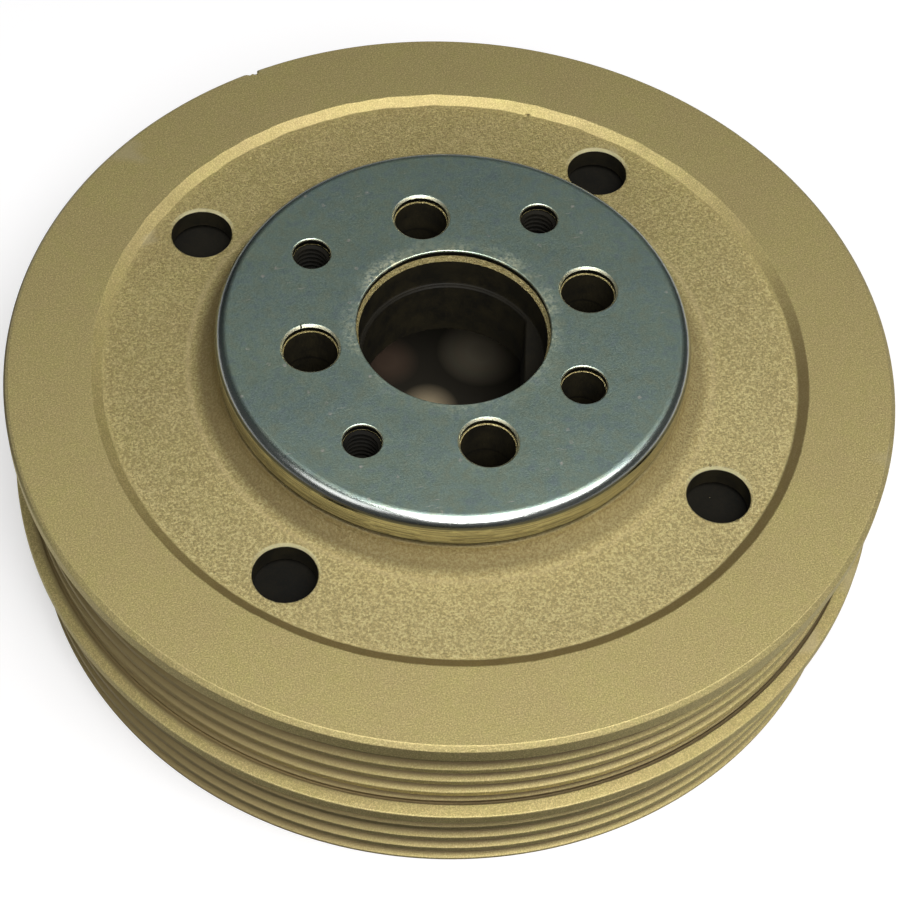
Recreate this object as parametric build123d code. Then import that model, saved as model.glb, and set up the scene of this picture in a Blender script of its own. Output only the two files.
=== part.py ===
"""Harmonic balancer pulley: grooved rim, web and hub in one casting, pressed hub plate,
inertia ring and rubber ring.

Millimetres. +Z is the crankshaft axis, pointing to the front of the engine. The origin is the centre
of the rear face of the rim, on which the pulley stands.
"""
from build123d import *
import math
import os

# Belt bands on the rim, from the front face back to the rear face
rib_pitch = 3.56
rib_crest_width = 1.0
groove_depth = 2.8
groove_half_angle = 20.0
front_groove_count = 5
rear_groove_count = 4
lip_height = 2.2
front_lip_width = 3.33
front_lip_bevel = 0.75
collar_gap = 0.12
collar_width = 2.15
collar_shoulder_drop = 0.4
relief_width = 0.55
relief_depth = 0.3
rear_land_width = 2.99
rear_lip_width = 0.57

# Rim section and front face
rim_wall = 4.7
annulus_width = 13.05
step_width = 1.8
web_recess = 1.03
web_thickness = 3.7
rim_corner_fillet = 1.6
rear_edge_chamfer = 1.0

# Hub, measured from the front face of the rim
boss_radius = 37.7
boss_shoulder_height = 1.6
boss_fillet = 2.6
boss_top_height = 6.5
boss_edge_chamfer = 1.0
hub_back_radius = 36.0
hub_back_depth = 11.0
hub_back_fillet = 3.0
hub_back_chamfer = 1.0

# Central bore with its ledge, and the register with one flat behind it
bore_radius = 15.0
bore_lead_depth = 0.93
bore_lead_width = 0.5
ledge_height = 0.0
register_radius = 14.3
register_flat_distance = 11.75
register_flat_angle = -15.4

# Holes in the hub. One bolt hole is off the even spacing, so the pulley fits in one position only
bolt_hole_radius = 4.25
bolt_bore_margin = 3.75
bolt_hole_chamfer = 0.3
bolt_count = 4
bolt_angle = 0.0
odd_bolt_shift = 7.4
tapped_circle_step = 3.75
tapped_hole_radius = 2.5
tapped_hole_chamfer = 0.45
tapped_hole_depth = 13.0
tapped_angles = (45.3, 135.3, 225.3)
dowel_hole_radius = 3.5
dowel_angle = -41.7

# Round holes in the web
web_hole_radius = 5.0
web_hole_margin = 2.2
web_hole_count = 4
web_hole_angle = 45.6

# Pressed plate over the boss
plate_sheet = 1.2
plate_setback = 0.05
plate_skirt_height = 5.4
plate_bend_radius = 2.05
plate_side_clearance = 0.15
plate_bore_radius = 15.4
plate_bolt_hole_radius = 4.4
plate_bolt_hole_chamfer = 0.4
plate_tapped_hole_radius = 3.05
plate_dowel_hole_radius = 3.6

# Damper parts behind the web
rubber_thickness = 2.0
rubber_front_gap = 2.4
rubber_length = 28.0
ring_hub_gap = 5.0
ring_width = 18.5
ring_front_gap = 1.0
ring_length = 31.0
ring_chamfer = 1.0

# Worked out sizes, from the bore outwards
bolt_circle_radius = bore_radius + bolt_bore_margin + bolt_hole_radius
tapped_circle_radius = bolt_circle_radius + tapped_circle_step
ring_bore_radius = hub_back_radius + ring_hub_gap
ring_radius = ring_bore_radius + ring_width
rim_bore_radius = ring_radius + rubber_thickness
rib_radius = rim_bore_radius + rim_wall + groove_depth

flank_slope = math.tan(math.radians(groove_half_angle))
groove_mouth = rib_pitch - rib_crest_width
groove_floor = groove_mouth - 2 * groove_depth * flank_slope
lip_radius = rib_radius + lip_height
lip_flank = lip_height * flank_slope
first_front_groove = front_lip_width + lip_flank + groove_mouth / 2
last_front_groove = first_front_groove + (front_groove_count - 1) * rib_pitch
collar_front = last_front_groove + groove_mouth / 2 + collar_gap
collar_back = collar_front + collar_width
first_rear_groove = collar_back + rear_land_width + groove_mouth / 2
last_rear_groove = first_rear_groove + (rear_groove_count - 1) * rib_pitch
front_z = last_rear_groove + groove_mouth / 2 + rear_lip_width
collar_shoulder_radius = rib_radius - collar_shoulder_drop

step_top_radius = lip_radius - front_lip_bevel - annulus_width
step_foot_radius = step_top_radius - step_width
web_front_z = front_z - web_recess
web_back_z = web_front_z - web_thickness
hub_back_z = front_z - hub_back_depth
ledge_z = front_z + ledge_height
boss_shoulder_z = front_z + boss_shoulder_height
boss_top_z = front_z + boss_top_height
web_hole_circle_radius = step_foot_radius - web_hole_margin - web_hole_radius

plate_radius = boss_radius - plate_setback
plate_top_z = boss_top_z + plate_sheet
seat_radius = plate_radius - plate_sheet - plate_side_clearance

ring_front_z = web_back_z - ring_front_gap
rubber_front_z = web_back_z - rubber_front_gap


def groove_heights():
    """Heights of the groove centres in the front and the rear belt band."""
    front = [front_z - first_front_groove - i * rib_pitch for i in range(front_groove_count)]
    rear = [front_z - first_rear_groove - i * rib_pitch for i in range(rear_groove_count)]
    return front + rear


def polar(radius, angle):
    """The point at a radius and an angle about the axis."""
    return radius * math.cos(math.radians(angle)), radius * math.sin(math.radians(angle))


def bolt_spots():
    """The bolt holes, the first of them shifted off the even spacing."""
    angles = [bolt_angle + i * 360 / bolt_count for i in range(bolt_count)]
    angles[0] += odd_bolt_shift
    return [polar(bolt_circle_radius, angle) for angle in angles]


def tapped_spots():
    """The tapped holes for puller screws."""
    return [polar(tapped_circle_radius, angle) for angle in tapped_angles]


def web_hole_spots():
    """The round holes in the web."""
    angles = [web_hole_angle + i * 360 / web_hole_count for i in range(web_hole_count)]
    return [polar(web_hole_circle_radius, angle) for angle in angles]


def half_section(points):
    """A closed face in the XZ plane through points given as radius and height."""
    return make_face(Plane.XZ * Polyline(*points, close=True))


def corner(face, radius, height):
    """The corner of a half section at a radius and height."""
    target = Vector(radius, 0, height)
    return sorted(face.vertices(), key=lambda vertex: (Vector(vertex) - target).length)[0]


def groove_section(z):
    """The trapezium cut by one belt groove."""
    return half_section([
        (rib_radius, z - groove_mouth / 2),
        (rib_radius, z + groove_mouth / 2),
        (rib_radius - groove_depth, z + groove_floor / 2),
        (rib_radius - groove_depth, z - groove_floor / 2),
    ])


def rib_blank():
    """Outer edge of the rim before the belt grooves are turned, from the front face to the rear."""
    collar_front_z = front_z - collar_front
    collar_back_z = front_z - collar_back
    relief_radius = collar_shoulder_radius + relief_width
    last_groove_z = front_z - last_front_groove
    return [
        (lip_radius - front_lip_bevel, front_z),
        (lip_radius, front_z - front_lip_bevel),
        (lip_radius, front_z - front_lip_width),
        (rib_radius, front_z - front_lip_width - lip_flank),
        (rib_radius, last_groove_z),
        (collar_shoulder_radius, last_groove_z),
        (collar_shoulder_radius, collar_front_z - relief_depth),
        (relief_radius, collar_front_z - relief_depth),
        (relief_radius, collar_front_z),
        (lip_radius, collar_front_z),
        (lip_radius, collar_back_z),
        (rib_radius, collar_back_z),
        (rib_radius, 0),
    ]


def casting_section():
    """Half section of the casting without its drilled holes."""
    section = half_section(rib_blank() + [
        (rim_bore_radius + rear_edge_chamfer, 0),
        (rim_bore_radius, rear_edge_chamfer),
        (rim_bore_radius, web_back_z),
        (hub_back_radius, web_back_z),
        (hub_back_radius, hub_back_z + hub_back_chamfer),
        (hub_back_radius - hub_back_chamfer, hub_back_z),
        (0, hub_back_z),
        (0, ledge_z),
        (bore_radius, ledge_z),
        (bore_radius, boss_top_z - bore_lead_depth),
        (bore_radius + bore_lead_width, boss_top_z),
        (seat_radius - boss_edge_chamfer, boss_top_z),
        (seat_radius, boss_top_z - boss_edge_chamfer),
        (seat_radius, boss_shoulder_z),
        (boss_radius, boss_shoulder_z),
        (boss_radius, web_front_z),
        (step_foot_radius, web_front_z),
        (step_top_radius, front_z),
    ])
    section = fillet(corner(section, boss_radius, web_front_z), boss_fillet)
    section = fillet(corner(section, rim_bore_radius, web_back_z), rim_corner_fillet)
    section = fillet(corner(section, hub_back_radius, web_back_z), hub_back_fillet)
    for z in groove_heights():
        section -= groove_section(z)
    return section


def cutter(spot, radius, low, high):
    """A round cutter from one height to another."""
    align = (Align.CENTER, Align.CENTER, Align.MIN)
    return Pos(spot[0], spot[1], low) * Cylinder(radius, high - low, align=align)


def countersink(spot, radius, chamfer_size, top):
    """A cone that chamfers the mouth of a round hole by the same amount across and down."""
    align = (Align.CENTER, Align.CENTER, Align.MAX)
    return Pos(spot[0], spot[1], top) * Cone(radius, radius + chamfer_size, chamfer_size, align=align)


def register_cutter():
    """The round register behind the ledge, with its one flat."""
    length = ledge_z - hub_back_z
    align = (Align.MIN, Align.CENTER, Align.MIN)
    beyond_flat = Pos(register_flat_distance, 0, 0) * Box(
        register_radius, 2 * register_radius, length, align=align)
    round_part = Cylinder(register_radius, length, align=(Align.CENTER, Align.CENTER, Align.MIN))
    return Pos(0, 0, hub_back_z) * Rot(0, 0, register_flat_angle) * (round_part - beyond_flat)


def pulley_casting():
    """Rim, web and hub in one piece, with all its drilled holes."""
    casting = revolve(casting_section(), Axis.Z)
    casting -= register_cutter()
    for spot in bolt_spots():
        casting -= cutter(spot, bolt_hole_radius, hub_back_z, boss_top_z)
        casting -= countersink(spot, bolt_hole_radius, bolt_hole_chamfer, boss_top_z)
    dowel_spot = polar(bolt_circle_radius, dowel_angle)
    casting -= cutter(dowel_spot, dowel_hole_radius, hub_back_z, boss_top_z)
    for spot in tapped_spots():
        casting -= cutter(spot, tapped_hole_radius, boss_top_z - tapped_hole_depth, boss_top_z)
        casting -= countersink(spot, tapped_hole_radius, tapped_hole_chamfer, boss_top_z)
    for spot in web_hole_spots():
        casting -= cutter(spot, web_hole_radius, web_back_z, web_front_z)
    return casting


def hub_plate():
    """Pressed sheet cap over the boss, with a turned down skirt."""
    skirt_foot_z = plate_top_z - plate_skirt_height
    section = half_section([
        (plate_bore_radius, plate_top_z),
        (plate_radius, plate_top_z),
        (plate_radius, skirt_foot_z),
        (plate_radius - plate_sheet, skirt_foot_z),
        (plate_radius - plate_sheet, boss_top_z),
        (plate_bore_radius, boss_top_z),
    ])
    section = fillet(corner(section, plate_radius, plate_top_z), plate_bend_radius)
    inner_corner = corner(section, plate_radius - plate_sheet, boss_top_z)
    section = fillet(inner_corner, plate_bend_radius - plate_sheet)
    plate = revolve(section, Axis.Z)
    for spot in bolt_spots():
        plate -= cutter(spot, plate_bolt_hole_radius, boss_top_z, plate_top_z)
        plate -= countersink(spot, plate_bolt_hole_radius, plate_bolt_hole_chamfer, plate_top_z)
    for spot in tapped_spots():
        plate -= cutter(spot, plate_tapped_hole_radius, boss_top_z, plate_top_z)
    dowel_spot = polar(bolt_circle_radius, dowel_angle)
    plate -= cutter(dowel_spot, plate_dowel_hole_radius, boss_top_z, plate_top_z)
    return plate


def inertia_ring():
    """Plain iron ring that the rubber carries inside the rim."""
    section = half_section([
        (ring_bore_radius, ring_front_z),
        (ring_radius, ring_front_z),
        (ring_radius, ring_front_z - ring_length),
        (ring_bore_radius, ring_front_z - ring_length),
    ])
    section = chamfer(section.vertices(), ring_chamfer)
    return revolve(section, Axis.Z)


def rubber_ring():
    """Rubber sleeve between the inertia ring and the inside of the rim."""
    return revolve(half_section([
        (ring_radius, rubber_front_z),
        (rim_bore_radius, rubber_front_z),
        (rim_bore_radius, rubber_front_z - rubber_length),
        (ring_radius, rubber_front_z - rubber_length),
    ]), Axis.Z)


def main():
    """Write one STEP file for each piece."""
    os.makedirs("parts", exist_ok=True)
    export_step(pulley_casting(), "parts/pulley_casting.step")
    export_step(hub_plate(), "parts/hub_plate.step")
    export_step(inertia_ring(), "parts/inertia_ring.step")
    export_step(rubber_ring(), "parts/rubber_ring.step")


main()
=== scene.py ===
import bpy
import math
from mathutils import Matrix, Vector, noise


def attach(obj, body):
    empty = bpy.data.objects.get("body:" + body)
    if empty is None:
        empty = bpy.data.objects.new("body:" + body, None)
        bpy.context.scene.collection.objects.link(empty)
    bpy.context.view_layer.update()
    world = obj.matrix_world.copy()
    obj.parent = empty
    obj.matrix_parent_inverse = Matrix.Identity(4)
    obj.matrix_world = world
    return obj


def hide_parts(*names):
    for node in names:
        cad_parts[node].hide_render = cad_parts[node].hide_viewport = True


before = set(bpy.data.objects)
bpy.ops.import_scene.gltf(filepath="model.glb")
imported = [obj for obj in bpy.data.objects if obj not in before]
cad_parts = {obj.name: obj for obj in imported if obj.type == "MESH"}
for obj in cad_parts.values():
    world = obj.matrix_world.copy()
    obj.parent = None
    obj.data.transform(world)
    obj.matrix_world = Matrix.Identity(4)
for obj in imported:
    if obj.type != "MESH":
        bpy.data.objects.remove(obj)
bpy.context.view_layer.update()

MM = 0.001


# Outlines and meshes. Lengths are in millimetres, and each mesh is scaled to metres at the end.

def rounded(corners, closed=True, turn=16):
    """Points of an outline of corners (radius, height, rounding). Arcs have steps of about turn degrees."""
    points = []
    count = len(corners)
    for i, (x, y, rounding) in enumerate(corners):
        here = Vector((x, y))
        ends = not closed and i in (0, count - 1)
        if rounding == 0 or ends:
            points.append(here)
            continue
        back = Vector(corners[i - 1][:2]) - here
        ahead = Vector(corners[(i + 1) % count][:2]) - here
        half = back.angle(ahead) / 2
        reach = rounding / math.tan(half)
        # An arc takes up less than half of the shorter side.
        limit = 0.48 * min(back.length, ahead.length)
        if reach > limit:
            reach = limit
            rounding = reach * math.tan(half)
        back.normalize()
        ahead.normalize()
        centre = here + (back + ahead).normalized() * rounding / math.sin(half)
        start = here + back * reach - centre
        sweep = start.angle_signed(here + ahead * reach - centre)
        steps = max(2, round(abs(math.degrees(sweep)) / turn))
        for k in range(steps + 1):
            points.append(centre + Matrix.Rotation(-sweep * k / steps, 2) @ start)
    return points


def filled(points, longest):
    """The outline with its long runs divided, where longest(a, b) says how long a part may be."""
    out = []
    for i, here in enumerate(points):
        after = points[(i + 1) % len(points)]
        out.append(here)
        parts = math.ceil((after - here).length / longest(here, after))
        out.extend(here.lerp(after, k / parts) for k in range(1, parts))
    return out


def turned(points, segments, shift=None):
    """Vertices and faces of a closed outline turned about the Z axis. shift may move each vertex."""
    # The first column lies off the X axis, so that no column lies on the axes with the bolt holes.
    first = 0.37
    vertices = []
    for i in range(segments):
        angle = 2 * math.pi * (i + first) / segments
        for p in points:
            place = Vector((p.x * math.cos(angle), p.x * math.sin(angle), p.y))
            vertices.append(shift(place, p) if shift else place)
    n = len(points)
    faces = []
    for i in range(segments):
        a, b = i * n, (i + 1) % segments * n
        for k in range(n):
            j = (k + 1) % n
            faces.append((a + k, a + j, b + j, b + k))
    return vertices, faces


def plug(points, segments, spot):
    """A cutter: an open outline from low to high turned about a vertical line, with flat ends."""
    vertices, faces = [], []
    n = len(points)
    for i in range(segments):
        angle = 2 * math.pi * i / segments
        for p in points:
            vertices.append(Vector((spot[0] + p.x * math.cos(angle), spot[1] + p.x * math.sin(angle), p.y)))
    for i in range(segments):
        a, b = i * n, (i + 1) % segments * n
        for k in range(n - 1):
            faces.append((a + k, b + k, b + k + 1, a + k + 1))
    faces.append([i * n for i in reversed(range(segments))])
    faces.append([i * n + n - 1 for i in range(segments)])
    return vertices, faces


def joined(parts):
    """Several lists of vertices and faces as one."""
    vertices, faces = [], []
    for some_vertices, some_faces in parts:
        start = len(vertices)
        vertices.extend(some_vertices)
        faces.extend([start + i for i in face] for face in some_faces)
    return vertices, faces


def make(name, vertices, faces):
    """An object from vertices in millimetres."""
    mesh = bpy.data.meshes.new(name)
    mesh.from_pydata([Vector(v) * MM for v in vertices], [], faces)
    mesh.validate()
    obj = bpy.data.objects.new(name, mesh)
    bpy.context.scene.collection.objects.link(obj)
    return obj


def settle(obj):
    """Put the result of the modifiers into the mesh."""
    bpy.context.view_layer.update()
    result = obj.evaluated_get(bpy.context.evaluated_depsgraph_get())
    mesh = bpy.data.meshes.new_from_object(result)
    obj.modifiers.clear()
    old = obj.data
    obj.data = mesh
    bpy.data.meshes.remove(old)
    mesh.name = obj.name


def cut(obj, parts):
    """Cut the closed shapes out of the object."""
    tool = make("cutter", *joined(parts))
    modifier = obj.modifiers.new("cut", "BOOLEAN")
    modifier.operation = "DIFFERENCE"
    modifier.solver = "EXACT"
    modifier.object = tool
    settle(obj)
    mesh = tool.data
    bpy.data.objects.remove(tool)
    bpy.data.meshes.remove(mesh)


def smooth(obj):
    """Smooth shading with creases at 32 degrees and more, and level faces kept flat."""
    obj.data.set_sharp_from_angle(angle=math.radians(32))
    for face in obj.data.polygons:
        face.use_smooth = True
    modifier = obj.modifiers.new("normals", "WEIGHTED_NORMAL")
    modifier.mode = "FACE_AREA_WITH_ANGLE"
    modifier.keep_sharp = True
    settle(obj)
    mesh = obj.data
    normals = [Vector(corner.vector) for corner in mesh.corner_normals]
    for face in mesh.polygons:
        if abs(face.normal.z) > 0.99999:
            for i in face.loop_indices:
                normals[i] = face.normal.copy()
    mesh.normals_split_custom_set(normals)


def polar(radius, degrees):
    """The point at a radius and angle about the axis."""
    return radius * math.cos(math.radians(degrees)), radius * math.sin(math.radians(degrees))


def wobble(place, size, amount, seed):
    """A smooth random number, the same in each run."""
    return amount * noise.noise(Vector(place) / size + Vector((seed, 0.37 * seed, -seed)))


# Radii of the crests of the ribs, the lip and collar, the groove floors, the inside of the rim,
# the web's outer edge, the step's upper edge, the boss, the bore and the plate
RIB, LIP, FLOOR, CAVITY = 69.0, 71.2, 66.2, 61.5
WEB_EDGE, STEP_TOP, BOSS, BORE, PLATE = 55.75, 57.4, 36.3, 15.0, 37.65

# Heights above the rear face of the rim
FRONT, BOSS_TOP, PLATE_TOP = 40.0, 46.5, 47.7
WEB_FRONT, WEB_BACK, HUB_BACK = 38.97, 35.27, 29.0

# Belt grooves: half their widths at the mouth and at the floor, and the heights of their middles
MOUTH, FOOT = 1.28, 0.26
FRONT_GROOVES = (34.59, 31.03, 27.47, 23.91, 20.35)
REAR_GROOVES = (12.53, 8.97, 5.41, 1.85)

# Places and radii of the holes. The radius of the tapped holes leaves room for their threads.
BOLTS = [polar(23.0, a) for a in (7.4, 90, 180, 270)]
TAPPED = [polar(26.75, a) for a in (45.3, 135.3, 225.3)]
DOWEL = polar(23.0, -41.7)
WEB_HOLES = [polar(48.4, a) for a in (45.6, 135.6, 225.6, 315.6)]
BOLT_SIZE, TAPPED_SIZE, DOWEL_SIZE, WEB_HOLE_SIZE = 4.25, 3.02, 3.5, 5.0

# The slit in the wall of one plate hole: its middle and its half sizes
SLIT, SLIT_SIZE = (-23.6, 4.45, PLATE_TOP), (0.13, 0.5, 1.1)


def groove(z):
    """The corners of one belt groove, from its upper edge to its lower edge."""
    return [(RIB, z + MOUTH, 0.2), (FLOOR, z + FOOT, 0.2), (FLOOR, z - FOOT, 0.2), (RIB, z - MOUTH, 0.2)]


def casting_outline():
    """Corners of the casting's half section."""
    corners = [(70.45, FRONT, 0.3), (LIP, 39.25, 0.3), (LIP, 36.67, 0.35)]
    corners += groove(FRONT_GROOVES[0])[1:]
    for z in FRONT_GROOVES[1:-1]:
        corners += groove(z)
    corners += groove(FRONT_GROOVES[-1])[:3]
    # The relief beside the collar, and the collar
    corners += [
        (68.6, 19.216, 0.1), (68.6, 18.7, 0.08), (69.1, 18.7, 0.08), (69.1, 19.02, 0.12),
        (LIP, 18.84, 0.3), (LIP, 16.80, 0.3), (RIB, 16.80, 0.25),
    ]
    for z in REAR_GROOVES:
        corners += groove(z)
    # The rear face, the inside of the rim, the back of the web, the hub and the bore
    corners += [
        (RIB, 0, 0.3), (62.5, 0, 0.3), (CAVITY, 1.0, 0.3), (CAVITY, WEB_BACK, 1.6), (36.0, WEB_BACK, 3.0),
        (36.0, 30.0, 0.3), (35.0, HUB_BACK, 0.3), (8.0, HUB_BACK, 0), (8.0, FRONT, 0), (BORE, FRONT, 0.3),
        (BORE, 45.57, 0.15), (15.5, BOSS_TOP, 0.15), (35.3, BOSS_TOP, 0.2), (BOSS, 45.5, 0.2),
    ]
    # The ledge below the plate, the fillet down to the web, and the step
    ledge, inner, reach, top, steps = 41.6, 37.7, 4.0, 41.4, 10
    corners += [(BOSS, ledge, 0.3), (inner, ledge, 0.3)]
    for k in range(1, steps + 1):
        angle = math.radians(90 / steps * k)
        corners.append((inner + reach * (1 - math.cos(angle)), top - (top - WEB_FRONT) * math.sin(angle), 0))
    return corners + [(WEB_EDGE, WEB_FRONT, 0.5), (STEP_TOP, FRONT, 0.4)]


def casting_runs(a, b):
    """Longest run of the casting's outline: short where the surface is as cast."""
    middle = (a + b) / 2
    cast = 37 < middle.x < 58 and middle.y > 38
    return 1.2 if cast else 4.0


def as_cast(place, p):
    """Small unevenness of the web, and a wavy edge at the foot and the top of the step."""
    if 37 < p.x < 58.5 and p.y > 38.5:
        lift = wobble(place, 5.0, 0.10, 3) + wobble(place, 1.9, 0.045, 8)
        place = place + Vector((0, 0, lift if p.x < 56 else lift * 0.4))
        edge = math.exp(-((p.x - 55.9) / 1.0) ** 2) + 0.8 * math.exp(-((p.x - STEP_TOP) / 0.6) ** 2)
        amount = 0.3 + 0.7 * max(0.0, place.y / 57)
        side = edge * amount * (wobble(place, 3.2, 0.24, 11) + wobble(place, 1.3, 0.12, 17))
        outward = Vector((place.x, place.y, 0)).normalized()
        place = place + outward * side
    return place


def hole(spot, radius, low, high, chamfer=0.0, segments=64, flare=0.0):
    """A cutter for a round hole with a chamfered or rounded mouth at its upper end."""
    corners = [(radius, low, 0)]
    if chamfer:
        corners += [(radius, high - chamfer, 0.1), (radius + chamfer, high, 0.1)]
        corners += [(radius + chamfer + 0.6, high + 0.25, 0)]
    else:
        corners += [(radius, high, flare), (radius + flare + 0.7, high + 0.06, 0)]
    return plug(rounded(corners, closed=False, turn=18), segments, spot)


def register():
    """Cutter for the round register with its one flat, chamfered at the ledge."""
    radius, flat, flat_angle, chamfer = 14.3, 11.75, -15.4, 0.22
    steps, flat_steps = 120, 12
    half = math.acos(flat / radius)
    ring = []
    for k in range(steps + 1):
        angle = half + (2 * math.pi - 2 * half) * k / steps
        ring.append(Vector((radius * math.cos(angle), radius * math.sin(angle))))
    for k in range(1, flat_steps):
        ring.append(ring[steps].lerp(ring[0], k / flat_steps))
    turn = Matrix.Rotation(math.radians(flat_angle), 2)
    rows = ((20.0, 0), (FRONT - chamfer, 0), (FRONT, chamfer), (FRONT + 0.5, chamfer + 0.5))
    vertices = []
    for z, grow in rows:
        for p in ring:
            q = turn @ (p * (1 + grow / radius))
            vertices.append((q.x, q.y, z))
    n = len(ring)
    faces = [list(reversed(range(n))), [3 * n + i for i in range(n)]]
    for row in range(3):
        for i in range(n):
            j = (i + 1) % n
            faces.append((row * n + i, row * n + j, (row + 1) * n + j, (row + 1) * n + i))
    return vertices, faces


def scoop(spot, size, seed):
    """A small uneven lump that cuts a nick."""
    vertices, faces = [], []
    rows, columns = 6, 10
    for i in range(rows + 1):
        tilt = math.pi * (i + 0.5) / (rows + 1)
        for k in range(columns):
            turn = 2 * math.pi * k / columns
            v = Vector((math.sin(tilt) * math.cos(turn), math.sin(tilt) * math.sin(turn), math.cos(tilt)))
            v *= 1 + wobble(v, 0.6, 0.5, seed)
            vertices.append(Vector(spot) + Vector((v.x * size[0], v.y * size[1], v.z * size[2])))
    for i in range(rows):
        for k in range(columns):
            j = (k + 1) % columns
            faces.append((i * columns + k, (i + 1) * columns + k, (i + 1) * columns + j, i * columns + j))
    faces.append(list(range(columns)))
    faces.append([rows * columns + k for k in reversed(range(columns))])
    return vertices, faces


def bare_faces(obj):
    """Give the second material to the walls of the bore and of the holes."""
    walls = [(spot, BOLT_SIZE, 46.1) for spot in BOLTS]
    walls += [(DOWEL, DOWEL_SIZE, 46.3)]
    walls += [(spot, WEB_HOLE_SIZE, 38.6) for spot in WEB_HOLES]
    walls += [(spot, TAPPED_SIZE, 46.3) for spot in TAPPED]
    for face in obj.data.polygons:
        place = face.center / MM
        radius = math.hypot(place.x, place.y)
        bare = radius < BORE + 0.01 and place.z < 45.5
        for spot, size, top in walls:
            near = math.hypot(place.x - spot[0], place.y - spot[1])
            bare = bare or (near < size + 0.02 and place.z < top)
        face.material_index = 1 if bare else 0


def nicks():
    """Cutters for the small damage of the casting."""
    # Each row gives the radius, the angle, the height and the half sizes. The first three are the
    # notch and the nicks of the rim's front edge, then come two marks in the web and two pores in
    # the rear ribs.
    marks = [
        (71.75, 106.0, 40.5, (1.7, 2.5, 3.0)),
        (71.35, -29.3, 39.55, (0.3, 0.4, 0.5)),
        (71.0, -144.0, 39.85, (0.3, 0.3, 0.35)),
        (44.9, -38.9, 39.0, (0.3, 0.35, 0.3)),
        (55.3, 63.1, 39.15, (0.9, 0.6, 0.3)),
        (RIB, -134.9, 5.26, (0.22, 0.22, 0.18)),
        (RIB, -91.2, 6.35, (0.22, 0.22, 0.18)),
    ]
    cutters = []
    for seed, (radius, angle, z, size) in enumerate(marks, 5):
        cutters.append(scoop((*polar(radius, angle), z), size, seed))
    return cutters


def pulley_casting():
    """Rim, web and hub as one casting with rounded edges, holes and its few nicks."""
    outline = filled(rounded(casting_outline()), casting_runs)
    obj = make("casting_skin", *turned(outline, segments=240, shift=as_cast))
    holes = [register()]
    holes += [hole(spot, BOLT_SIZE, 20, BOSS_TOP, chamfer=0.16) for spot in BOLTS]
    holes += [hole(DOWEL, DOWEL_SIZE, 20, BOSS_TOP, chamfer=0.1, segments=48)]
    holes += [hole(spot, TAPPED_SIZE, 33.5, BOSS_TOP, chamfer=0.1, segments=48) for spot in TAPPED]
    holes += [hole(spot, WEB_HOLE_SIZE, 30, WEB_FRONT + 0.02, flare=0.55) for spot in WEB_HOLES]
    cut(obj, holes)
    cut(obj, nicks())
    smooth(obj)
    return obj


def hub_plate():
    """Pressed cap with rolled edge, skirt and sheared holes."""
    opening, skirt_end, skirt_inside = 15.4, 42.3, 36.45
    bolt_hole, screw_hole, dowel_hole = 4.4, 3.05, 3.6
    corners = [
        (opening, PLATE_TOP, 0.22), (PLATE, PLATE_TOP, 2.05), (PLATE, skirt_end, 0.15),
        (skirt_inside, skirt_end, 0.15), (skirt_inside, BOSS_TOP, 0.85), (opening, BOSS_TOP, 0.08),
    ]
    obj = make("plate_skin", *turned(rounded(corners, turn=9), segments=256))
    holes = [hole(spot, bolt_hole, 40, PLATE_TOP, chamfer=0.4) for spot in BOLTS]
    holes += [hole(spot, screw_hole, 40, PLATE_TOP, flare=0.3, segments=48) for spot in TAPPED]
    holes += [hole(DOWEL, dowel_hole, 40, PLATE_TOP, flare=0.3, segments=48)]
    cut(obj, holes)
    cut(obj, [scoop(SLIT, SLIT_SIZE, seed=31)])
    smooth(obj)
    return obj


def thread(spot, name):
    """The wall of a threaded hole: a helical ridge with a countersunk mouth."""
    pitch, low, high, minor, major, countersink = 1.0, 33.6, BOSS_TOP, 2.5, 3.0, 0.5
    turns = round((high - low) / pitch) + 1
    # A turn has 40 steps. The profile gives the radius at eighths of the pitch.
    steps, rows = 40, 8
    profile = [(0, minor), (1.2, minor), (3.6, major), (4.4, major), (6.8, minor)]
    vertices, faces = [], []
    columns = steps * turns + 1
    for i in range(columns):
        for k in range(len(profile) + 1):
            step, radius = profile[k % len(profile)]
            step += rows * (k // len(profile))
            z = low - pitch + pitch * (i / steps + step / rows)
            z = min(max(z, low), high)
            radius = max(radius, minor + max(0.0, z - (high - countersink)))
            angle = 2 * math.pi * i / steps
            vertices.append((spot[0] + radius * math.cos(angle), spot[1] + radius * math.sin(angle), z))
    n = len(profile) + 1
    for i in range(columns - 1):
        for k in range(n - 1):
            faces.append((i * n + k, i * n + k + 1, (i + 1) * n + k + 1, (i + 1) * n + k))
    obj = make(name, vertices, faces)
    for face in obj.data.polygons:
        face.use_smooth = False
    return obj


# Materials. Lengths are in millimetres. These level directions follow the camera: towards it, away
# from it, to the right in the picture, and to the near side 30 degrees further right.
VIEWER = (-0.2924, -0.9563, 0)
FAR = (0.2924, 0.9563, 0)
RIGHT = (0.9563, -0.2924, 0)
NEAR = (0.225, -0.974, 0)


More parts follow.
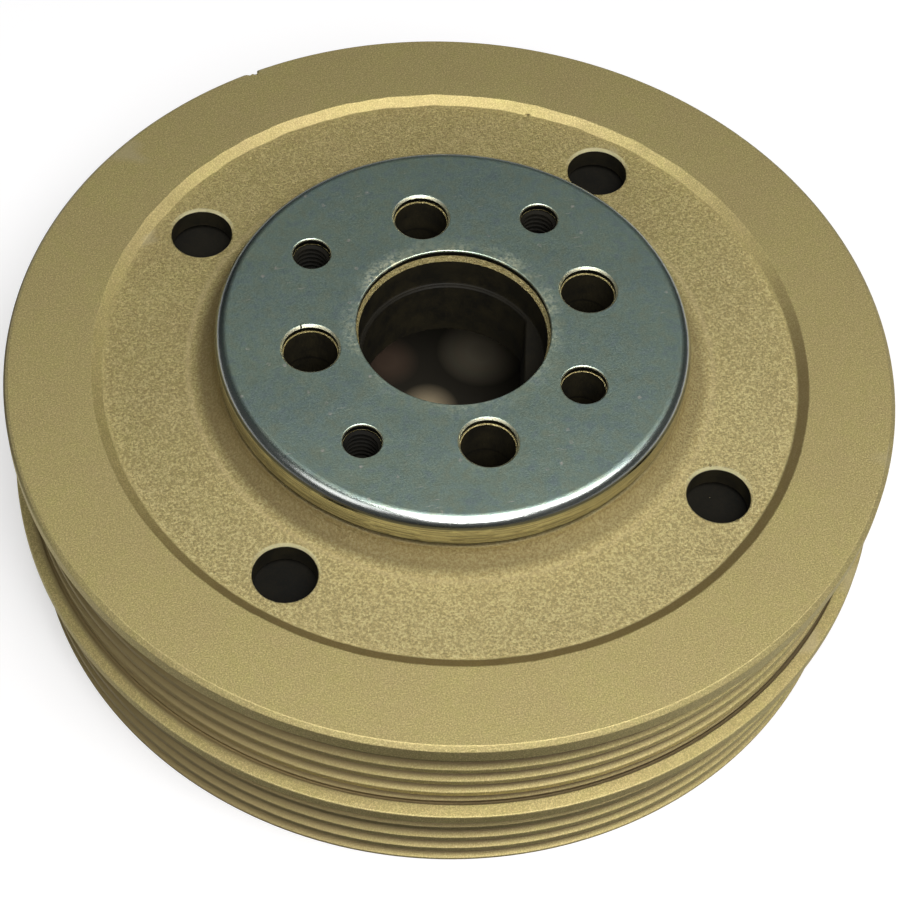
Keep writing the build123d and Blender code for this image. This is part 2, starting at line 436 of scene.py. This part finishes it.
class Nodes:
    """A short way to build a node tree."""

    def __init__(self, tree):
        self.tree = tree
        tree.nodes.clear()

    def feed(self, socket, value):
        """Link an output to the socket, or set its value."""
        if isinstance(value, bpy.types.NodeSocket):
            self.tree.links.new(value, socket)
        else:
            socket.default_value = value

    def add(self, kind, inputs=None, **settings):
        """A new node with its settings and inputs."""
        node = self.tree.nodes.new(kind)
        for key, value in settings.items():
            setattr(node, key, value)
        for key, value in (inputs or {}).items():
            self.feed(node.inputs[key], value)
        return node

    def vector(self, operation, a, b=(0, 0, 0)):
        """The outputs of a vector operation: a Vector and a Value."""
        return self.add("ShaderNodeVectorMath", {0: a, 1: b}, operation=operation).outputs

    def length(self, vector):
        """The length of a vector."""
        return self.vector("LENGTH", vector)["Value"]

    def split(self, vector):
        """The three coordinates of a vector."""
        return self.add("ShaderNodeSeparateXYZ", {0: vector}).outputs

    def level(self, x, y):
        """The place without its height, and its distance from the axis."""
        flat = self.add("ShaderNodeCombineXYZ", {0: x, 1: y}).outputs[0]
        return flat, self.length(flat)

    def towards(self, direction, vector, length):
        """From 1 where the vector points in the direction to -1 where it points away from it."""
        along = self.vector("DOT_PRODUCT", vector, direction)["Value"]
        return self.math("DIVIDE", along, self.math("MAXIMUM", length, 1.0))

    def noise(self, vector, scale, detail, roughness, seed):
        """Soft noise with its scale per millimetre, moved by the seed."""
        shifted = self.vector("ADD", vector, (seed, seed * 0.7, -seed))["Vector"]
        inputs = {"Vector": shifted, "Scale": scale, "Detail": detail, "Roughness": roughness}
        return self.add("ShaderNodeTexNoise", inputs).outputs["Fac"]

    def math(self, operation, a, b=0.0):
        """The result of one operation on numbers."""
        return self.add("ShaderNodeMath", {0: a, 1: b}, operation=operation).outputs[0]

    def product(self, first, *others):
        """All the values multiplied."""
        for other in others:
            first = self.math("MULTIPLY", first, other)
        return first

    def span(self, value, low, high, to_low=0.0, to_high=1.0):
        """The value taken from one range to another, and held at its ends."""
        inputs = {"Value": value, "From Min": low, "From Max": high, "To Min": to_low, "To Max": to_high}
        return self.add("ShaderNodeMapRange", inputs).outputs["Result"]

    def mix(self, factor, a, b):
        """The colour a, replaced by b as far as the factor says."""
        node = self.add("ShaderNodeMix", {0: factor}, data_type="RGBA")
        for key, value in ((6, a), (7, b)):
            self.feed(node.inputs[key], (*value, 1.0) if isinstance(value, tuple) else value)
        return node.outputs[2]

    def bump(self, height, strength, distance, normal=None):
        """A normal bent by a height, with the distance in millimetres."""
        inputs = {"Height": height, "Strength": strength, "Distance": distance * MM}
        if normal is not None:
            inputs["Normal"] = normal
        return self.add("ShaderNodeBump", inputs).outputs["Normal"]

    def finish(self, shader):
        """Lead a shader to the material's output."""
        self.add("ShaderNodeOutputMaterial", {"Surface": shader})

    def surface(self, colour, metallic, roughness, normal, specular=0.5):
        """The material's surface from its colour, gloss and normal."""
        shader = self.add("ShaderNodeBsdfPrincipled", {
            "Base Color": colour, "Metallic": metallic, "Roughness": roughness,
            "Specular IOR Level": specular, "Normal": normal})
        self.finish(shader.outputs[0])


def start(name):
    """A new material, its nodes and the object's coordinates in millimetres."""
    material = bpy.data.materials.new(name)
    material.use_nodes = True
    nodes = Nodes(material.node_tree)
    coordinates = nodes.add("ShaderNodeTexCoord").outputs["Object"]
    inputs = {0: coordinates, "Scale": 1 / MM}
    scaled = nodes.add("ShaderNodeVectorMath", inputs, operation="SCALE").outputs[0]
    return material, nodes, scaled


def gold_paint():
    """Gold metallic paint: fine grain where the casting was turned, coarser where it was left as cast. Its
    colour also carries painted light and shade on the step, the web, the edges, the foot of the boss, the
    grooves and the ribs.
    """
    material, n, where = start("gold_paint")
    x, y, z = n.split(where)
    flat, radius = n.level(x, y)
    facing = n.towards(NEAR, flat, radius)
    side = n.towards(RIGHT, flat, radius)
    above = n.span(z, 38.0, 38.4)
    cast = n.product(n.span(radius, 55.7, 55.1), above)

    # Broad patches, dark and light grain, and bright flakes
    broad = n.noise(where, 0.09, 3.0, 0.55, 5.0)
    middle = n.noise(where, 0.55, 4.0, 0.6, 21.0)
    fine = n.noise(where, 4.2, 4.0, 0.72, 40.0)
    flakes = n.add("ShaderNodeTexVoronoi", {"Vector": where, "Scale": 6.5}).outputs["Color"]
    flake = n.add("ShaderNodeSeparateColor", {0: flakes}).outputs[0]
    colour = n.mix(n.span(broad, 0.3, 0.7), (0.60, 0.525, 0.215), (0.58, 0.475, 0.225))
    colour = n.mix(n.span(middle, 0.35, 0.75, 0.0, 0.6), colour, (0.61, 0.47, 0.25))
    colour = n.mix(n.span(fine, 0.38, 0.54, 0.7, 0.0), colour, (0.42, 0.355, 0.14))
    colour = n.mix(n.span(fine, 0.50, 0.64, 0.0, 0.85), colour, (0.84, 0.75, 0.37))
    colour = n.mix(n.span(flake, 0.78, 1.0, 0.0, 0.40), colour, (0.86, 0.75, 0.40))

    # Painted shade on the step round the web: darkest on the near side, where it faces away from the light,
    # and a little on the far side
    shaded = n.math("MAXIMUM", n.span(facing, 0.0, 0.45, 0.0, 0.7), n.span(facing, -0.5, -1.0, 0.0, 0.22))
    step = n.product(n.span(radius, 55.4, 55.9), n.span(radius, 57.5, 57.2), n.span(z, 40.0, 39.9), above)
    colour = n.mix(n.product(step, shaded), colour, (0.28, 0.205, 0.10))

    # The web: painted light on its near side, painted shade in its pits and painted highlights on its
    # ridges, strongest towards the near side
    pits = n.noise(where, 2.5, 4.0, 0.75, 70.0)
    near_light = n.product(cast, n.span(facing, -0.3, 0.8, 0.0, 0.6))
    colour = n.mix(near_light, colour, (0.93, 0.785, 0.40))
    pit_shade = n.product(cast, n.span(pits, 0.49, 0.42, 0.0, 0.5))
    colour = n.mix(pit_shade, colour, (0.40, 0.31, 0.14))
    ridge = n.product(cast, n.span(pits, 0.52, 0.58), n.span(facing, -0.7, 0.7, 0.3, 0.85))
    colour = n.mix(ridge, colour, (1.0, 0.92, 0.52))

    # A painted highlight on the far lip of each web hole
    for spot in WEB_HOLES:
        apart = n.vector("SUBTRACT", flat, (*spot, 0))["Vector"]
        away = n.length(apart)
        beyond = n.span(n.towards(FAR, apart, away), 0.1, 0.8)
        hole_lip_highlight = n.product(n.span(away, 5.6, 5.45), beyond, n.span(z, 38.2, 38.5), 0.8)
        colour = n.mix(hole_lip_highlight, colour, (1.0, 0.95, 0.62))

    # A painted dark reflection on the far edge of the rim, then lighter convex edges and painted shade in
    # the concave corners everywhere
    far_edge_reflection = n.product(n.span(radius, 70.75, 70.95), n.span(z, 38.9, 39.2))
    far_edge_reflection = n.product(far_edge_reflection, n.span(facing, 0.25, -0.25, 0.0, 0.75))
    colour = n.mix(far_edge_reflection, colour, (0.10, 0.08, 0.045))
    point = n.add("ShaderNodeNewGeometry").outputs["Pointiness"]
    colour = n.mix(n.span(point, 0.51, 0.60, 0.0, 0.55), colour, (0.66, 0.58, 0.36))
    colour = n.mix(n.span(point, 0.49, 0.42, 0.0, 0.6), colour, (0.20, 0.155, 0.08))

    # Painted shade at the foot of the boss, where the web mirrors the plate's dark skirt, and a painted
    # highlight on the line where it rises out of the web
    foot = n.product(n.span(radius, 41.6, 39.9), n.span(z, 42.0, 41.8), above)
    foot = n.product(foot, n.span(side, 0.6, -0.6, 0.5, 0.72))
    colour = n.mix(foot, colour, (0.22, 0.165, 0.08))
    rise_highlight = n.product(n.span(radius, 41.4, 42.0), n.span(radius, 42.9, 42.2), above, 0.4)
    colour = n.mix(rise_highlight, colour, (0.86, 0.74, 0.42))

    # Painted shade deep in the belt grooves and in the relief beside the collar
    below = n.math("LESS_THAN", z, 36.6)
    outside = n.math("GREATER_THAN", radius, 65.0)
    deep = n.product(n.span(radius, 68.95, 68.05), below, outside)
    relief = n.product(n.span(radius, 69.14, 69.06), n.span(z, 19.4, 19.2))
    relief = n.product(relief, n.math("GREATER_THAN", z, 18.5), n.math("GREATER_THAN", radius, 68.0))
    groove_shade = n.product(n.math("MAXIMUM", deep, relief), 0.85)
    colour = n.mix(groove_shade, colour, (0.12, 0.085, 0.05))

    # Painted shadow on the ribs under the lip and the collar, and painted shade on the ribs at the left,
    # away from the light
    band = n.product(outside, n.span(radius, 70.0, 69.3), below)
    upper = n.span(z, 29.5, 33.5)
    lower = n.product(n.span(z, 8.5, 12.0), n.math("LESS_THAN", z, 16.85))
    rib_shadow = n.product(n.math("MAXIMUM", upper, lower), n.span(side, 0.9, 0.1, 0.15, 0.62), band)
    colour = n.mix(rib_shadow, colour, (0.15, 0.115, 0.065))
    left = n.product(band, n.span(side, 0.15, -0.5, 0.0, 0.9))
    colour = n.mix(left, colour, (0.36, 0.285, 0.14))

    normal = n.bump(pits, cast, 0.42, n.bump(fine, 0.9, 0.08))
    n.surface(colour, 0.9, n.span(fine, 0.3, 0.7, 0.52, 0.64), normal)
    return material


def zinc():
    """Zinc plated sheet: satin, slightly mottled, with fine scratches and a stain round the bore. Its rolled
    edge, skirt and holes carry painted reflections, highlights and shade.
    """
    material, n, where = start("zinc_plate")
    x, y, z = n.split(where)
    flat, radius = n.level(x, y)
    facing = n.towards(NEAR, flat, radius)
    outer = n.math("GREATER_THAN", radius, 35.0)
    inner = n.math("SUBTRACT", 1.0, outer)
    # The plate's level face lies above this height, its rolled edge and the mouths of its holes below it.
    face = 47.69
    rolled = n.product(outer, n.span(z, face, 47.5))

    # Green and bluish sheen with tan patches and a fine grain
    broad = n.noise(where, 0.08, 3.0, 0.5, 9.0)
    middle = n.noise(where, 0.5, 4.0, 0.6, 31.0)
    fine = n.noise(where, 4.0, 3.0, 0.7, 52.0)
    colour = n.mix(n.span(broad, 0.3, 0.7), (0.58, 0.76, 0.64), (0.52, 0.70, 0.66))
    colour = n.mix(n.span(middle, 0.45, 0.7, 0.0, 0.6), colour, (0.62, 0.68, 0.50))
    colour = n.mix(n.span(middle, 0.48, 0.3, 0.0, 0.6), colour, (0.46, 0.58, 0.66))
    colour = n.mix(n.span(fine, 0.35, 0.6, 0.35, 0.0), colour, (0.36, 0.50, 0.42))
    colour = n.mix(n.span(fine, 0.5, 0.75, 0.0, 0.5), colour, (0.74, 0.84, 0.72))

    # The patchy stain round the bore, strongest on the far side
    smear = n.noise(where, 1.3, 5.0, 0.7, 77.0)
    patches = n.span(n.noise(where, 0.16, 2.0, 0.5, 44.0), 0.38, 0.6, 0.15, 1.0)
    stain = n.product(n.span(radius, 18.4, 15.5), n.span(smear, 0.42, 0.58))
    stain = n.product(stain, n.span(y, -14.0, 16.0, 0.35, 1.0), patches)
    colour = n.mix(n.product(stain, 0.9), colour, (1.0, 0.97, 0.70))

    # Bright flecks, and scratches in two directions
    dot, line = (1.0, 1.0, 1.0), (0.22, 2.6, 1.0)
    for stretch, limit, turn in ((dot, 0.17, 0.0), (line, 0.09, 0.9), (line, 0.09, 2.4)):
        inputs = {"Vector": flat, "Rotation": (0, 0, turn), "Scale": stretch}
        placed = n.add("ShaderNodeMapping", inputs).outputs[0]
        inputs = {"Vector": placed, "Scale": 0.4}
        cells = n.add("ShaderNodeTexVoronoi", inputs, voronoi_dimensions="2D").outputs
        shade = n.add("ShaderNodeSeparateColor", {0: cells["Color"]}).outputs[0]
        chosen = n.math("GREATER_THAN", shade, 0.93)
        fleck = n.product(chosen, n.span(cells["Distance"], limit, 0.4 * limit), n.span(smear, 0.42, 0.55))
        colour = n.mix(fleck, colour, (1.0, 1.0, 0.92))

    # The rolled edge in a neutral tone, with a painted dark reflection on its far side
    colour = n.mix(n.product(outer, n.span(z, face, 47.3)), colour, (0.66, 0.69, 0.68))
    dull = n.product(rolled, n.span(facing, -0.2, -0.6, 0.0, 0.8))
    colour = n.mix(dull, colour, (0.20, 0.23, 0.24))

    # The skirt: a painted brass reflection of the gold casting, streaked along its fine drawn lines, between
    # a painted dark reflection line above and a painted shadow line at the gap below
    drawn = n.add("ShaderNodeCombineXYZ", {
        0: n.product(z, 3.0), 1: n.product(radius, 3.0), 2: n.product(broad, 6.0)}).outputs[0]
    lines = n.noise(drawn, 1.6, 3.0, 0.6, 8.0)
    skirt = n.mix(n.span(lines, 0.38, 0.62), (0.30, 0.29, 0.23), (0.74, 0.72, 0.54))
    colour = n.mix(n.span(z, 46.2, 45.9), colour, skirt)
    skirt_shade_lines = n.product(n.span(z, 46.9, 46.5), n.span(z, 45.9, 46.1))
    skirt_shade_lines = n.math("MAXIMUM", skirt_shade_lines, n.span(z, 42.75, 42.6))
    colour = n.mix(n.product(skirt_shade_lines, 0.85), colour, (0.05, 0.055, 0.06))

    # Painted highlights on the mouths of the holes, painted shade on their walls, and painted shade in the
    # slit
    mouth = n.product(inner, n.span(z, face, 47.62), n.span(fine, 0.3, 0.6, 0.5, 1.0))
    mouth = n.product(mouth, n.span(radius, 15.8, 16.2, 0.25, 1.0))
    colour = n.mix(mouth, colour, (0.95, 0.90, 0.66))
    colour = n.mix(n.product(inner, n.span(z, 47.36, 47.28)), colour, (0.05, 0.05, 0.04))
    slit_shade = n.math("LESS_THAN", n.math("ABSOLUTE", n.math("SUBTRACT", x, SLIT[0])), SLIT_SIZE[0])
    slit_shade = n.product(slit_shade, n.span(y, 3.8, 3.9), n.span(y, 4.95, 4.85))
    colour = n.mix(slit_shade, colour, (0.02, 0.02, 0.015))

    # The stain is rougher and the rolled edge smoother than the face
    rough = n.math("ADD", n.span(fine, 0.3, 0.7, 0.38, 0.46), n.product(stain, 0.2))
    rough = n.math("SUBTRACT", rough, n.product(rolled, 0.2))
    grain = n.product(fine, n.math("SUBTRACT", 1.0, n.product(rolled, 0.7)))
    inputs = {"Vector": where, "Rotation": (0, 0, 0.6), "Scale": (0.35, 5.0, 1.0)}
    streak = n.noise(n.add("ShaderNodeMapping", inputs).outputs[0], 1.2, 2.0, 0.6, 3.0)
    normal = n.bump(grain, 0.8, 0.045)
    normal = n.bump(streak, 0.12, 0.03, normal)
    normal = n.bump(broad, 0.3, 0.5, normal)
    n.surface(colour, 1.0, rough, normal)
    return material


def iron():
    """Dark iron of the inertia ring and the threads, with a little rust. Its near-black colour on the
    threads also stands in as painted shade deep in their holes.
    """
    material, n, where = start("dark_iron")
    broad = n.noise(where, 0.1, 4.0, 0.6, 2.0)
    fine = n.noise(where, 2.5, 3.0, 0.6, 14.0)
    colour = n.mix(n.span(broad, 0.35, 0.65), (0.007, 0.007, 0.006), (0.012, 0.011, 0.008))
    colour = n.mix(n.span(fine, 0.5, 0.8, 0.0, 0.4), colour, (0.024, 0.018, 0.012))
    n.surface(colour, 0.0, n.span(fine, 0.3, 0.7, 0.6, 0.8), n.bump(fine, 0.5, 0.08), specular=0.08)
    return material


def bare_iron():
    """Unpainted wall of a bore or hole: dark, with a little olive overspray, and a painted shade round the
    ledge.
    """
    material, n, where = start("bare_iron")
    height = n.split(where)[2]
    broad = n.noise(where, 0.3, 3.0, 0.6, 4.0)
    fine = n.noise(where, 2.8, 3.0, 0.6, 25.0)
    colour = n.mix(n.span(broad, 0.35, 0.65), (0.026, 0.022, 0.012), (0.012, 0.011, 0.008))
    colour = n.mix(n.span(fine, 0.5, 0.8, 0.0, 0.4), colour, (0.055, 0.045, 0.022))
    # Painted shade round the ledge
    ledge = n.product(n.span(height, 39.6, 39.7), n.span(height, 40.2, 40.1), 0.7)
    colour = n.mix(ledge, colour, (0.008, 0.007, 0.005))
    n.surface(colour, 0.1, n.span(fine, 0.3, 0.7, 0.5, 0.65), n.bump(fine, 0.4, 0.05), specular=0.2)
    return material


def rubber():
    """Black rubber with a dull, faintly mottled skin."""
    material, n, where = start("black_rubber")
    fine = n.noise(where, 1.6, 4.0, 0.6, 6.0)
    colour = n.mix(n.span(fine, 0.35, 0.7), (0.016, 0.016, 0.016), (0.034, 0.033, 0.031))
    n.surface(colour, 0.0, n.span(fine, 0.3, 0.7, 0.62, 0.8), n.bump(fine, 0.4, 0.06))
    return material


def floor_material():
    """Pale floor that turns white in the picture where it is lit. Below the part it is painted dark as
    shade, with painted pools of light seen through the bore.
    """
    material, n, where = start("floor")
    x, y, _ = n.split(where)
    flat, radius = n.level(x, y)
    outside = n.math("GREATER_THAN", radius, 68.7)
    path = n.add("ShaderNodeLightPath").outputs
    camera_ray = path["Is Camera Ray"]

    # The floor glows for the camera, more so far away, and in mirror images except towards the viewer.
    ahead = n.math("MAXIMUM", n.towards(VIEWER, flat, radius), 0.0)
    most = 0.58
    share = n.math("SUBTRACT", most, n.product(ahead, ahead, most))
    mirrored = n.math("MAXIMUM", path["Is Glossy Ray"], path["Is Transmission Ray"])
    pale = n.span(radius, 150.0, 520.0, 0.42, 1.0)
    seen = n.math("ADD", n.product(camera_ray, pale), n.product(mirrored, share))
    glow = n.add("ShaderNodeEmission", {"Color": (1, 1, 1, 1), "Strength": n.product(seen, outside)})

    # Painted pools of light seen through the bore, each with its radius, angle, size and colour
    light_spots = (
        (19.3, 83, 5.5, (0.50, 0.41, 0.27)), (31, 95, 6, (0.16, 0.11, 0.08)),
        (33, 64, 8, (0.34, 0.30, 0.22)),
    )
    # Below the part the floor's colour is a painted shade
    shade = n.mix(outside, (0.05, 0.045, 0.035), (0.66, 0.66, 0.68))
    for distance, angle, size, colour in light_spots:
        away = n.vector("DISTANCE", flat, (*polar(distance, angle), 0))["Value"]
        shade = n.mix(n.span(away, size, 0.3 * size), shade, colour)
    shade = n.mix(camera_ray, (0.07, 0.07, 0.072), shade)
    diffuse = n.add("ShaderNodeBsdfDiffuse", {"Color": shade})
    both = n.add("ShaderNodeAddShader", {0: diffuse.outputs[0], 1: glow.outputs[0]})
    n.finish(both.outputs[0])
    return material


def paint(obj, *materials):
    """The object's materials, in order."""
    obj.data.materials.clear()
    for material in materials:
        obj.data.materials.append(material)


GOLD, ZINC, IRON, RUBBER = gold_paint(), zinc(), iron(), rubber()

casting = pulley_casting()
paint(casting, GOLD, bare_iron())
bare_faces(casting)
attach(casting, "root")
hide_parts("pulley_casting")

plate = hub_plate()
paint(plate, ZINC)
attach(plate, "root")
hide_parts("hub_plate")

for number, spot in enumerate(TAPPED, 1):
    wall = thread(spot, f"puller_thread_{number}")
    paint(wall, IRON)
    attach(wall, "root")

for node, material in (("inertia_ring", IRON), ("rubber_ring", RUBBER)):
    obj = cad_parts[node]
    if not obj.material_slots:
        obj.data.materials.append(material)
    for slot in obj.material_slots:
        slot.material = material


# Floor, light and camera. Lengths are in metres from here on.

def flat_square(name, half, z):
    """A level square about the axis."""
    corners = [(-half, -half, z), (half, -half, z), (half, half, z), (-half, half, z)]
    mesh = bpy.data.meshes.new(name)
    mesh.from_pydata(corners, [], [(0, 1, 2, 3)])
    obj = bpy.data.objects.new(name, mesh)
    bpy.context.scene.collection.objects.link(obj)
    return obj


ground = flat_square("floor", 3.0, 0.0)
paint(ground, floor_material())

LAMP_DISTANCE = 1.0
LAMP_AIM = Vector((0, 0, 0.03))
WARM = (1.0, 0.985, 0.96)


def area_light(name, azimuth, elevation, width, height, energy):
    """A flat lamp that faces the part. Its azimuth and elevation are degrees in the part's frame."""
    data = bpy.data.lights.new(name, "AREA")
    data.shape = "RECTANGLE"
    data.size = width
    data.size_y = height
    data.energy = energy
    data.color = WARM
    lamp = bpy.data.objects.new(name, data)
    bpy.context.scene.collection.objects.link(lamp)
    a, e = math.radians(azimuth), math.radians(elevation)
    away = Vector((math.cos(a) * math.cos(e), math.sin(a) * math.cos(e), math.sin(e)))
    lamp.location = LAMP_AIM + away * LAMP_DISTANCE
    lamp.rotation_mode = "QUATERNION"
    lamp.rotation_quaternion = (-away).to_track_quat("-Z", "Y")


area_light("key", azimuth=-92, elevation=62, width=0.45, height=0.8, energy=9.6)
area_light("right", azimuth=-32, elevation=60, width=0.45, height=0.45, energy=2.6)
area_light("left", azimuth=-152, elevation=45, width=0.45, height=0.45, energy=0.9)

# The room is dim for the part and white for the camera.
world = bpy.data.worlds.new("room")
bpy.context.scene.world = world
world.use_nodes = True
nodes = Nodes(world.node_tree)
camera_ray = nodes.add("ShaderNodeLightPath").outputs["Is Camera Ray"]
dim = nodes.add("ShaderNodeBackground", {"Color": (0.9, 1.0, 0.95, 1), "Strength": 0.05}).outputs[0]
white = nodes.add("ShaderNodeBackground", {"Color": (1, 1, 1, 1), "Strength": 1.0}).outputs[0]
room = nodes.add("ShaderNodeMixShader", {0: camera_ray, 1: dim, 2: white}).outputs[0]
nodes.add("ShaderNodeOutputWorld", {"Surface": room})

lens = bpy.data.cameras.new("camera")
lens.sensor_width = 36
lens.lens = 94.94
lens.shift_x = 0.0413
lens.shift_y = -0.0037
lens.clip_start = 0.01
camera = bpy.data.objects.new("camera", lens)
bpy.context.scene.collection.objects.link(camera)
camera.location = (-0.06831, -0.22344, 0.34004)
camera.rotation_euler = [math.radians(angle) for angle in (35.6001, -2.0644, -12.8266)]
bpy.context.scene.camera = camera

bpy.context.scene.view_settings.view_transform = "Standard"

bpy.context.view_layer.update()
